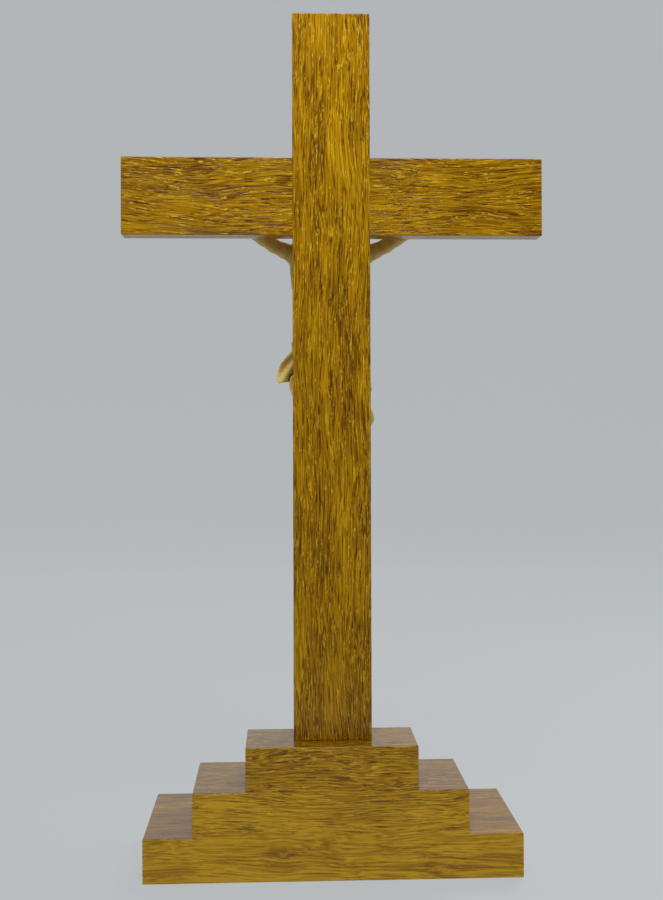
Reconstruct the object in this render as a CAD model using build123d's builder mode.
"""Altar crucifix: a halved oak cross on a base of three steps, with a carved figure nailed to its front.

The frame has +Z up and the figure facing -Y, so +X is the figure's left. The origin is the centre
of the base's underside. All sizes are in millimetres.
"""

import os
from itertools import pairwise

from build123d import *

os.makedirs("parts", exist_ok=True)

# ---------------------------------------------------------------- driving dimensions
# Cross: both boards are cut from the same stock.
board_width = 45.0
board_thickness = 20.0
crossbar_length = 244.0
lower_arm = 292.0  # upright below the crossbar
upper_arm = 84.0  # upright above the crossbar
crossbar_shift = -0.9  # the crossbar sits a little off centre
arris = 0.6  # radius that sanding leaves on every outer edge

# Base: three boards, flush at the back.
step_thickness = 25.2
top_step_width = 98.0
top_step_depth = 60.0
tread = 29.4  # each step shows this much beyond the one above, at both sides and the front
middle_step_shift = 1.5
top_step_shift = 1.0

# Fasteners. A pan-head screw's length is measured under its head, a countersunk one's overall.
hole_clearance = 0.05  # radial, round every shank, peg and pin
screw_pitch = 2.2
recess_share = 0.5  # width of a screw's cross recess, as a share of its head
foot_screw_diameter = 6.0
foot_screw_length = 95.0
foot_screw_head_diameter = 11.0
foot_screw_head_height = 3.6
foot_screw_well = 12.0  # depth of the counterbore that takes its head
foot_dowel_diameter = 8.0
foot_dowel_length = 40.0
foot_dowel_spacing = 28.0
dowel_flutes = 12
dowel_flute_radius = 0.5
step_screw_diameter = 4.5
step_screw_length = 40.0
step_screw_head_diameter = 8.6
step_screw_rim = 0.3  # straight edge of a countersunk head
step_screw_sunk = 1.0  # depth of its head's top below the board's underside
step_screw_inset = 18.0  # screw centre in from the edges of the board that it holds

# Figure: places on it are in head heights, from the crossbar's middle at the boards' front.
figure_height = 192.0
heads_tall = 7.5
figure_gap = 0.1  # the carving's flattened back stands this far off the boards
joint_swell = 1.03  # a knee or ankle is this much fuller than the lengths that meet there
peg_diameter = 3.5
peg_length = 12.0
nail_diameter = 1.8
nail_head_diameter = 3.4
nail_head_height = 1.1
nail_point_length = 2.0
hand_nail_length = 16.0
foot_nail_length = 24.0

# Name board
scroll_width = 34.0
scroll_height = 15.0
scroll_thickness = 2.4
scroll_roll_radius = 2.6
scroll_drop = 48.0  # its centre below the top of the upright
scroll_pin_inset = 4.5  # pin centre in from the inner side of each roll
scroll_pin_diameter = 1.2
scroll_pin_length = 9.0
scroll_pin_head_diameter = 2.6
scroll_pin_head_height = 0.8
scroll_pin_point_length = 1.2

# ---------------------------------------------------------------- derived places
middle_step_width = top_step_width + 2 * tread
bottom_step_width = top_step_width + 4 * tread
middle_step_depth = top_step_depth + tread
bottom_step_depth = top_step_depth + 2 * tread
base_back = bottom_step_depth / 2
base_height = 3 * step_thickness

cross_y = base_back - top_step_depth / 2  # the boards stand in the middle of the top step's depth
front_face = cross_y - board_thickness / 2
crossbar_bottom = base_height + lower_arm
crossbar_middle = crossbar_bottom + board_width / 2
crossbar_top = crossbar_bottom + board_width
cross_top = crossbar_top + upper_arm
board_front = Plane.XZ.offset(-front_face)  # faces forward; its own y runs up the cross
standing = (Align.CENTER, Align.CENTER, Align.MIN)  # how a solid that starts at its place is aligned

head = figure_height / heads_tall


def step_middle(depth):
    """The middle of a step's depth: every step ends at the flush back."""
    return base_back - depth / 2


def place(across, forward, up):
    """A point on the figure, given in head heights from the crossbar's middle at the boards' front."""
    return Vector(across * head, front_face - forward * head, crossbar_middle + up * head)


# ---------------------------------------------------------------- fastener shapes
def screw(diameter, head_outline, tip):
    """A wood screw that points up from z = 0. Rings with sharp crests stand for its thread."""
    radius = diameter / 2
    root = radius * 0.78
    shank_top = head_outline[-1][1]
    point_start = tip - diameter
    thread_start = shank_top + (point_start - shank_top) * 0.4
    rings = int((point_start - thread_start) / screw_pitch)
    outline = [(0, 0), *head_outline, (radius, thread_start)]
    for ring in range(rings):
        low = thread_start + ring * screw_pitch
        outline += [(root, low + screw_pitch * 0.45), (radius, low + screw_pitch)]
    outline += [(root, point_start + screw_pitch * 0.1), (0, tip)]
    head_radius = head_outline[0][0]
    with BuildPart() as body:
        with BuildSketch(Plane.XZ):
            with BuildLine():
                Polyline(*outline, close=True)
            make_face()
        revolve(axis=Axis.Z)
        with BuildSketch(Plane.XY):
            for turn in (0, 90):
                Rectangle(head_radius * 2 * recess_share, head_radius * 0.26, rotation=turn)
        extrude(amount=shank_top * 0.6, mode=Mode.SUBTRACT)
    return body.part


def nail(diameter, length, head_diameter, head_height, point_length):
    """A round nail that points along +Y, with a domed head in front of y = 0."""
    radius, head_radius = diameter / 2, head_diameter / 2
    with BuildPart() as body:
        with BuildSketch(Plane.XY):
            with BuildLine():
                Polyline((0, -head_height), (0, length), (radius, length - point_length), (radius, 0))
                Line((radius, 0), (head_radius, 0))
                TangentArc((0, -head_height), (head_radius, 0), tangent=(1, 0))
            make_face()
        revolve(axis=Axis.Y)
    return body.part


def round_limb(stations):
    """A leg of tapered lengths with a ball at each bend.

    A station is (across, forward, up, radius), all in head heights.
    """
    centres = [(place(*station[:3]), station[3] * head) for station in stations]
    with BuildPart() as body:
        for (start, start_radius), (end, end_radius) in pairwise(centres):
            with Locations(Plane(start, z_dir=end - start)):
                Cone(start_radius, end_radius, (end - start).length, align=standing)
        for centre, radius in centres[1:-1]:
            with Locations(centre):
                Sphere(radius * joint_swell)
    return body.part


def limb(stations, width_direction):
    """A smooth solid through oval sections, each square to the run of their centres.

    A station is (across, forward, up, half width, half thickness), all in head heights.
    """
    centres = [place(*station[:3]) for station in stations]
    with BuildPart() as body:
        for index, station in enumerate(stations):
            before, after = centres[max(index - 1, 0)], centres[min(index + 1, len(centres) - 1)]
            with BuildSketch(Plane(centres[index], x_dir=width_direction, z_dir=after - before)):
                Ellipse(station[3] * head, station[4] * head)
        loft()
    return body.part


def stack_of_ovals(rows):
    """A smooth solid through level oval sections, given as (across, forward, up, half width, half depth)."""
    with BuildPart() as body:
        for across, forward, up, half_width, half_depth in rows:
            with BuildSketch(Plane(place(across, forward, up))):
                Ellipse(half_width * head, half_depth * head)
        loft()
    return body.part


# ---------------------------------------------------------------- base
lower_screw_x = middle_step_width / 2 - step_screw_inset
lower_screw_y = middle_step_depth / 2 - step_screw_inset
upper_screw_x = top_step_width / 2 - step_screw_inset
step_screw_hole = step_screw_diameter / 2 + hole_clearance
step_screw_sink = step_screw_head_diameter / 2 + hole_clearance
step_screw_tip = step_screw_sunk + step_screw_length + hole_clearance
foot_screw_hole = foot_screw_diameter / 2 + hole_clearance
foot_screw_sink = foot_screw_head_diameter / 2 + hole_clearance
foot_screw_tip = foot_screw_well + foot_screw_length + hole_clearance
foot_dowel_reach = foot_dowel_length / 2 + hole_clearance


def drilled_up(x, y, z):
    """A place for a hole feature that is drilled upwards from height z."""
    return Location((x, y, z), (180, 0, 0))


def lower_screw_places(z):
    """The four screws that pull the middle step down, at height z."""
    rows = [step_middle(middle_step_depth) + end * lower_screw_y for end in (-1, 1)]
    return [(middle_step_shift + side * lower_screw_x, y, z) for side in (-1, 1) for y in rows]


def upper_screw_places(z):
    """The two screws that pull the top step down, at height z."""
    return [(top_step_shift + side * upper_screw_x, step_middle(top_step_depth), z) for side in (-1, 1)]


def foot_dowel_places(z):
    """The two dowels in the upright's foot, at height z."""
    return [(side * foot_dowel_spacing / 2, cross_y, z) for side in (-1, 1)]


# The stack is glued up before its outer edges are rounded, so the flush back shows no grooves.
steps = (
    (bottom_step_width, bottom_step_depth, 0),
    (middle_step_width, middle_step_depth, middle_step_shift),
    (top_step_width, top_step_depth, top_step_shift),
)
with BuildPart() as stack:
    for level, (width, depth, shift) in enumerate(steps):
        with Locations((shift, step_middle(depth), level * step_thickness)):
            Box(width, depth, step_thickness, align=standing)
    fillet(stack.edges().filter_by(lambda edge: not edge.is_interior), arris)

with BuildPart() as bottom_step:
    add(stack.part)
    split(bisect_by=Plane.XY.offset(step_thickness), keep=Keep.BOTTOM)
    lower_heads = lower_screw_places(step_screw_sunk + step_screw_rim)
    with Locations(*[drilled_up(x, y, z) for x, y, z in lower_heads]):
        CounterSinkHole(step_screw_hole, step_screw_sink, step_thickness, counter_sink_angle=90)
    with Locations(drilled_up(0, cross_y, 0)):
        CounterBoreHole(foot_screw_hole, foot_screw_sink, foot_screw_well, foot_screw_tip)
bottom_step.part.label = "bottom_step"
export_step(bottom_step.part, "parts/bottom_step.step")

with BuildPart() as middle_step:
    add(stack.part)
    split(bisect_by=Plane.XY.offset(step_thickness), keep=Keep.TOP)
    split(bisect_by=Plane.XY.offset(2 * step_thickness), keep=Keep.BOTTOM)
    with Locations(*[drilled_up(x, y, z) for x, y, z in lower_screw_places(0)]):
        Hole(step_screw_hole, step_screw_tip)
    upper_heads = upper_screw_places(step_thickness + step_screw_sunk + step_screw_rim)
    with Locations(*[drilled_up(x, y, z) for x, y, z in upper_heads]):
        CounterSinkHole(step_screw_hole, step_screw_sink, step_thickness, counter_sink_angle=90)
    with Locations(drilled_up(0, cross_y, 0)):
        Hole(foot_screw_hole, foot_screw_tip)
middle_step.part.label = "middle_step"
export_step(middle_step.part, "parts/middle_step.step")

with BuildPart() as top_step:
    add(stack.part)
    split(bisect_by=Plane.XY.offset(2 * step_thickness), keep=Keep.TOP)
    with Locations(*[drilled_up(x, y, z) for x, y, z in upper_screw_places(step_thickness)]):
        Hole(step_screw_hole, step_screw_tip)
    with Locations(*foot_dowel_places(base_height)):
        Hole(foot_dowel_diameter / 2 + hole_clearance, foot_dowel_reach)
    with Locations(drilled_up(0, cross_y, 0)):
        Hole(foot_screw_hole, foot_screw_tip)
top_step.part.label = "top_step"
export_step(top_step.part, "parts/top_step.step")

# ---------------------------------------------------------------- figure's places that other pieces share
hand_across, hand_up = 3.24, 0.0
palm_front = 0.2  # how far the front of each palm stands from the boards
foot_across, foot_up = 0.03, -7.1
feet_front = 0.5
shoulder_across, shoulder_forward, shoulder_up = 0.66, 0.42, -1.26
arm_rise = Vector(2.35, 0, 1.0)  # direction of the left arm at its shoulder

hand_nail_hole = hand_nail_length - palm_front * head + hole_clearance
foot_nail_hole = foot_nail_length - feet_front * head + hole_clearance
hand_places = [(side * hand_across * head, crossbar_middle + hand_up * head) for side in (-1, 1)]
foot_place = (foot_across * head, crossbar_middle + foot_up * head)
scroll_z = cross_top - scroll_drop
scroll_pin_hole = scroll_pin_length - scroll_thickness + hole_clearance
scroll_pin_x = scroll_width / 2 - 2 * scroll_roll_radius - scroll_pin_inset
scroll_pin_places = [(side * scroll_pin_x, scroll_z) for side in (-1, 1)]

# ---------------------------------------------------------------- cross
# The joint is glued up before the edges are rounded, so the halved faces stay sharp inside.
with BuildPart() as boards:
    with Locations((0, cross_y, base_height)):
        Box(board_width, board_thickness, cross_top - base_height, align=standing)
    with Locations((crossbar_shift, cross_y, crossbar_middle)):
        Box(crossbar_length, board_thickness, board_width)
    fillet(boards.edges().filter_by(lambda edge: not edge.is_interior), arris)

# What belongs to the upright: its full length, but only the back half where the boards cross.
with BuildPart() as upright_room:
    with Locations((0, cross_y, base_height)):
        Box(board_width, board_thickness, cross_top - base_height, align=standing)
    with Locations((0, (cross_y + front_face) / 2, crossbar_middle)):
        Box(board_width, board_thickness / 2, board_width, mode=Mode.SUBTRACT)

with BuildPart() as upright:
    add(boards.part)
    add(upright_room.part, mode=Mode.INTERSECT)
    with Locations(*[drilled_up(x, y, z) for x, y, z in foot_dowel_places(base_height)]):
        Hole(foot_dowel_diameter / 2 + hole_clearance, foot_dowel_reach)
    with Locations(drilled_up(0, cross_y, 0)):
        Hole(foot_screw_hole, foot_screw_tip)
    with Locations(board_front):
        with Locations(foot_place):
            Hole(nail_diameter / 2 + hole_clearance, foot_nail_hole)
        with Locations(*scroll_pin_places):
            Hole(scroll_pin_diameter / 2 + hole_clearance, scroll_pin_hole)
upright.part.label = "upright"
export_step(upright.part, "parts/upright.step")

with BuildPart() as crossbar:
    add(boards.part)
    add(upright_room.part, mode=Mode.SUBTRACT)
    with Locations(board_front):
        with Locations(*hand_places):
            Hole(nail_diameter / 2 + hole_clearance, hand_nail_hole)
crossbar.part.label = "crossbar"
export_step(crossbar.part, "parts/crossbar.step")

# ---------------------------------------------------------------- fasteners in the base
with BuildPart() as foot_dowel:
    Cylinder(foot_dowel_diameter / 2, foot_dowel_length)
    chamfer(foot_dowel.edges().filter_by(GeomType.CIRCLE), foot_dowel_diameter * 0.12)
    with BuildSketch(Plane.XY.offset(-foot_dowel_length / 2)):
        with PolarLocations(foot_dowel_diameter / 2, dowel_flutes):
            Circle(dowel_flute_radius)
    extrude(amount=foot_dowel_length, mode=Mode.SUBTRACT)

with BuildPart() as foot_dowels:
    with Locations(*foot_dowel_places(base_height)):
        add(foot_dowel.part)
foot_dowels.part.label = "foot_dowels"
export_step(foot_dowels.part, "parts/foot_dowels.step")

pan_head = [
    (foot_screw_head_diameter / 2, 0),
    (foot_screw_head_diameter / 2, foot_screw_head_height),
    (foot_screw_diameter / 2, foot_screw_head_height),
]
foot_screw_shape = screw(foot_screw_diameter, pan_head, foot_screw_head_height + foot_screw_length)
with BuildPart() as foot_screw:
    with Locations((0, cross_y, foot_screw_well - foot_screw_head_height)):
        add(foot_screw_shape)
foot_screw.part.label = "foot_screw"
export_step(foot_screw.part, "parts/foot_screw.step")

sunk_head_height = step_screw_rim + (step_screw_head_diameter - step_screw_diameter) / 2
sunk_head = [
    (step_screw_head_diameter / 2, 0),
    (step_screw_head_diameter / 2, step_screw_rim),
    (step_screw_diameter / 2, sunk_head_height),
]
step_screw_shape = screw(step_screw_diameter, sunk_head, step_screw_length)
for name, heads in (
    ("lower_step_screws", lower_screw_places(step_screw_sunk)),
    ("upper_step_screws", upper_screw_places(step_thickness + step_screw_sunk)),
):
    with BuildPart() as step_screws:
        with Locations(*heads):
            add(step_screw_shape)
    step_screws.part.label = name
    export_step(step_screws.part, f"parts/{name}.step")

# ---------------------------------------------------------------- carved figure
# Sections are ovals in head heights: across, forward of the boards, up from the crossbar's middle,
# half width and half thickness. The weight hangs from the hands, the knees bend to the figure's
# right, and the feet cross under one nail.
torso = stack_of_ovals(
    [
        (-0.02, 0.45, -0.93, 0.30, 0.28),
        (0.00, 0.45, -1.10, 0.72, 0.34),
        (0.06, 0.45, -1.45, 0.82, 0.43),
        (0.06, 0.42, -2.10, 0.78, 0.46),
        (0.06, 0.36, -2.75, 0.60, 0.36),
        (0.08, 0.40, -3.30, 0.72, 0.42),
        (0.08, 0.42, -3.75, 0.66, 0.42),
    ]
)
loincloth = stack_of_ovals(
    [
        (0.08, 0.42, -3.05, 0.76, 0.46),
        (0.08, 0.46, -3.40, 0.86, 0.54),
        (0.06, 0.52, -3.80, 0.85, 0.58),
        (-0.04, 0.62, -4.25, 0.72, 0.56),
    ]
)
loincloth_knot = stack_of_ovals(
    [
        (0.90, 0.35, -3.36, 0.14, 0.12),
        (0.95, 0.35, -3.55, 0.24, 0.20),
        (0.97, 0.35, -3.90, 0.25, 0.20),
        (0.90, 0.33, -4.35, 0.12, 0.10),
    ]
)
right_leg = round_limb(
    [
        (-0.30, 0.45, -3.50, 0.360),
        (-0.60, 0.85, -4.30, 0.330),
        (-0.80, 1.10, -4.85, 0.260),
        (-0.62, 0.90, -5.70, 0.235),
        (-0.30, 0.50, -6.35, 0.155),
        (-0.14, 0.34, -6.72, 0.140),
    ]
)
left_leg = round_limb(
    [
        (0.42, 0.45, -3.50, 0.360),
        (0.02, 0.90, -4.30, 0.330),
        (-0.28, 1.20, -4.85, 0.260),
        (-0.22, 0.90, -5.75, 0.235),
        (-0.03, 0.45, -6.40, 0.155),
        (0.08, 0.20, -6.80, 0.140),
    ]
)
right_foot = limb(
    [
        (-0.14, 0.32, -6.66, 0.12, 0.14),
        (-0.05, 0.38, -7.00, 0.17, 0.13),
        (0.00, 0.42, -7.35, 0.20, 0.10),
        (0.02, 0.42, -7.58, 0.16, 0.06),
    ],
    (1, 0, 0),
)
left_foot = limb(
    [
        (0.10, 0.14, -6.72, 0.12, 0.14),
        (0.07, 0.17, -7.00, 0.17, 0.13),
        (0.00, 0.20, -7.38, 0.20, 0.10),
        (-0.04, 0.20, -7.62, 0.16, 0.06),
    ],
    (1, 0, 0),
)
neck = limb([(0.00, 0.45, -1.10, 0.24, 0.24), (-0.12, 0.52, -0.50, 0.20, 0.20)], (1, 0, 0))
skull = limb(
    [
        (-0.27, 0.80, -0.74, 0.10, 0.12),
        (-0.25, 0.74, -0.62, 0.22, 0.26),
        (-0.22, 0.66, -0.40, 0.32, 0.37),
        (-0.20, 0.60, -0.12, 0.37, 0.43),
        (-0.18, 0.57, 0.10, 0.29, 0.34),
        (-0.17, 0.56, 0.22, 0.12, 0.14),
    ],
    (1, 0, 0),
)
hair = limb(
    [
        (-0.10, 0.38, -0.98, 0.22, 0.14),
        (-0.14, 0.40, -0.80, 0.36, 0.25),
        (-0.18, 0.48, -0.30, 0.41, 0.36),
        (-0.18, 0.52, 0.08, 0.30, 0.30),
        (-0.17, 0.54, 0.24, 0.12, 0.12),
    ],
    (1, 0, 0),
)

crown_place = Plane(place(-0.20, 0.58, -0.04), x_dir=(1, 0, 0), z_dir=(0.08, 0.14, 1))
crown_radius, crown_thickness = 0.39 * head, 0.06 * head

left_shoulder = Plane(place(shoulder_across, shoulder_forward, shoulder_up), z_dir=arm_rise)
right_shoulder = Plane(
    place(-shoulder_across, shoulder_forward, shoulder_up), z_dir=(-arm_rise.X, arm_rise.Y, arm_rise.Z)
)
flat_back = Plane.XZ.offset(figure_gap - front_face)
peg_hole = (peg_diameter / 2 + hole_clearance, peg_length + 2 * hole_clearance)
# A flat seat for a nail's head, with the nail's hole behind it, right through the carving.
nail_hole, nail_head_hole = nail_diameter / 2 + hole_clearance, nail_head_diameter / 2 + hole_clearance
nail_seat = (nail_hole, nail_head_hole, nail_head_height, head)

with BuildPart() as corpus_body:
    add(torso)
    split(bisect_by=left_shoulder, keep=Keep.BOTTOM)
    split(bisect_by=right_shoulder, keep=Keep.BOTTOM)
    add([loincloth, loincloth_knot, right_leg, left_leg, right_foot, left_foot, neck, skull, hair])
    with Locations(crown_place):
        Torus(crown_radius, crown_thickness)
    split(bisect_by=flat_back, keep=Keep.TOP)
    with Locations(left_shoulder, right_shoulder):
        Cylinder(*peg_hole, mode=Mode.SUBTRACT)
    with Locations(board_front.offset(feet_front * head + nail_head_height)):
        with Locations(foot_place):
            CounterBoreHole(*nail_seat)
corpus_body.part.label = "corpus_body"
export_step(corpus_body.part, "parts/corpus_body.step")

# Each arm is carved apart, pegged to the shoulder, and nailed through its palm.
arm_stations = [
    (0.46, 0.42, -1.34, 0.27, 0.27),
    (0.66, 0.42, -1.26, 0.26, 0.26),
    (0.88, 0.42, -1.17, 0.22, 0.22),
    (1.10, 0.40, -1.085, 0.165, 0.165),
    (1.45, 0.36, -0.90, 0.165, 0.165),
    (1.85, 0.30, -0.69, 0.145, 0.145),
    (2.20, 0.26, -0.46, 0.15, 0.15),
    (2.60, 0.20, -0.22, 0.115, 0.115),
    (2.93, 0.14, -0.07, 0.08, 0.10),
    (3.20, 0.11, 0.00, 0.09, 0.17),
    (3.45, 0.14, 0.08, 0.07, 0.13),
    (3.62, 0.20, 0.11, 0.04, 0.05),
]
for side, shoulder, name in ((1, left_shoulder, "corpus_left_arm"), (-1, right_shoulder, "corpus_right_arm")):
    arm_shape = limb([(side * across, *rest) for across, *rest in arm_stations], (0, -1, 0))
    with BuildPart() as arm:
        add(arm_shape)
        split(bisect_by=shoulder, keep=Keep.TOP)
        split(bisect_by=flat_back, keep=Keep.TOP)
        with Locations(shoulder):
            Cylinder(*peg_hole, mode=Mode.SUBTRACT)
        with Locations(board_front.offset(palm_front * head + nail_head_height)):
            with Locations((side * hand_across * head, crossbar_middle + hand_up * head)):
                CounterBoreHole(*nail_seat)
    arm.part.label = name
    export_step(arm.part, f"parts/{name}.step")

with BuildPart() as peg:
    Cylinder(peg_diameter / 2, peg_length)
    chamfer(peg.edges().filter_by(GeomType.CIRCLE), peg_diameter * 0.12)

with BuildPart() as shoulder_pegs:
    with Locations(left_shoulder, right_shoulder):
        add(peg.part)
shoulder_pegs.part.label = "shoulder_pegs"
export_step(shoulder_pegs.part, "parts/shoulder_pegs.step")

# ---------------------------------------------------------------- nails
nail_head = (nail_head_diameter, nail_head_height, nail_point_length)
hand_nail_shape = nail(nail_diameter, hand_nail_length, *nail_head)
foot_nail_shape = nail(nail_diameter, foot_nail_length, *nail_head)
with BuildPart() as hand_nails:
    with Locations(*[(x, front_face - palm_front * head, z) for x, z in hand_places]):
        add(hand_nail_shape)
hand_nails.part.label = "hand_nails"
export_step(hand_nails.part, "parts/hand_nails.step")

with BuildPart() as foot_nail:
    with Locations((foot_place[0], front_face - feet_front * head, foot_place[1])):
        add(foot_nail_shape)
foot_nail.part.label = "foot_nail"
export_step(foot_nail.part, "parts/foot_nail.step")

# ---------------------------------------------------------------- name board
# Seen from above, a thin board whose two ends roll forward; it carries no letters.
roll_middle = scroll_width / 2 - scroll_roll_radius
with BuildPart() as title_scroll:
    with BuildSketch(Plane.XY.offset(scroll_z - scroll_height / 2)):
        with Locations((0, front_face - scroll_thickness / 2)):
            Rectangle(2 * roll_middle, scroll_thickness)
        with Locations(*[(side * roll_middle, front_face - scroll_roll_radius) for side in (-1, 1)]):
            Circle(scroll_roll_radius)
    extrude(amount=scroll_height)
    with Locations(board_front.offset(scroll_thickness)):
        with Locations(*scroll_pin_places):
            Hole(scroll_pin_diameter / 2 + hole_clearance, scroll_thickness)
title_scroll.part.label = "title_scroll"
export_step(title_scroll.part, "parts/title_scroll.step")

scroll_pin_head = (scroll_pin_head_diameter, scroll_pin_head_height, scroll_pin_point_length)
title_pin = nail(scroll_pin_diameter, scroll_pin_length, *scroll_pin_head)
with BuildPart() as title_pins:
    with Locations(*[(x, front_face - scroll_thickness, z) for x, z in scroll_pin_places]):
        add(title_pin)
title_pins.part.label = "title_pins"
export_step(title_pins.part, "parts/title_pins.step")
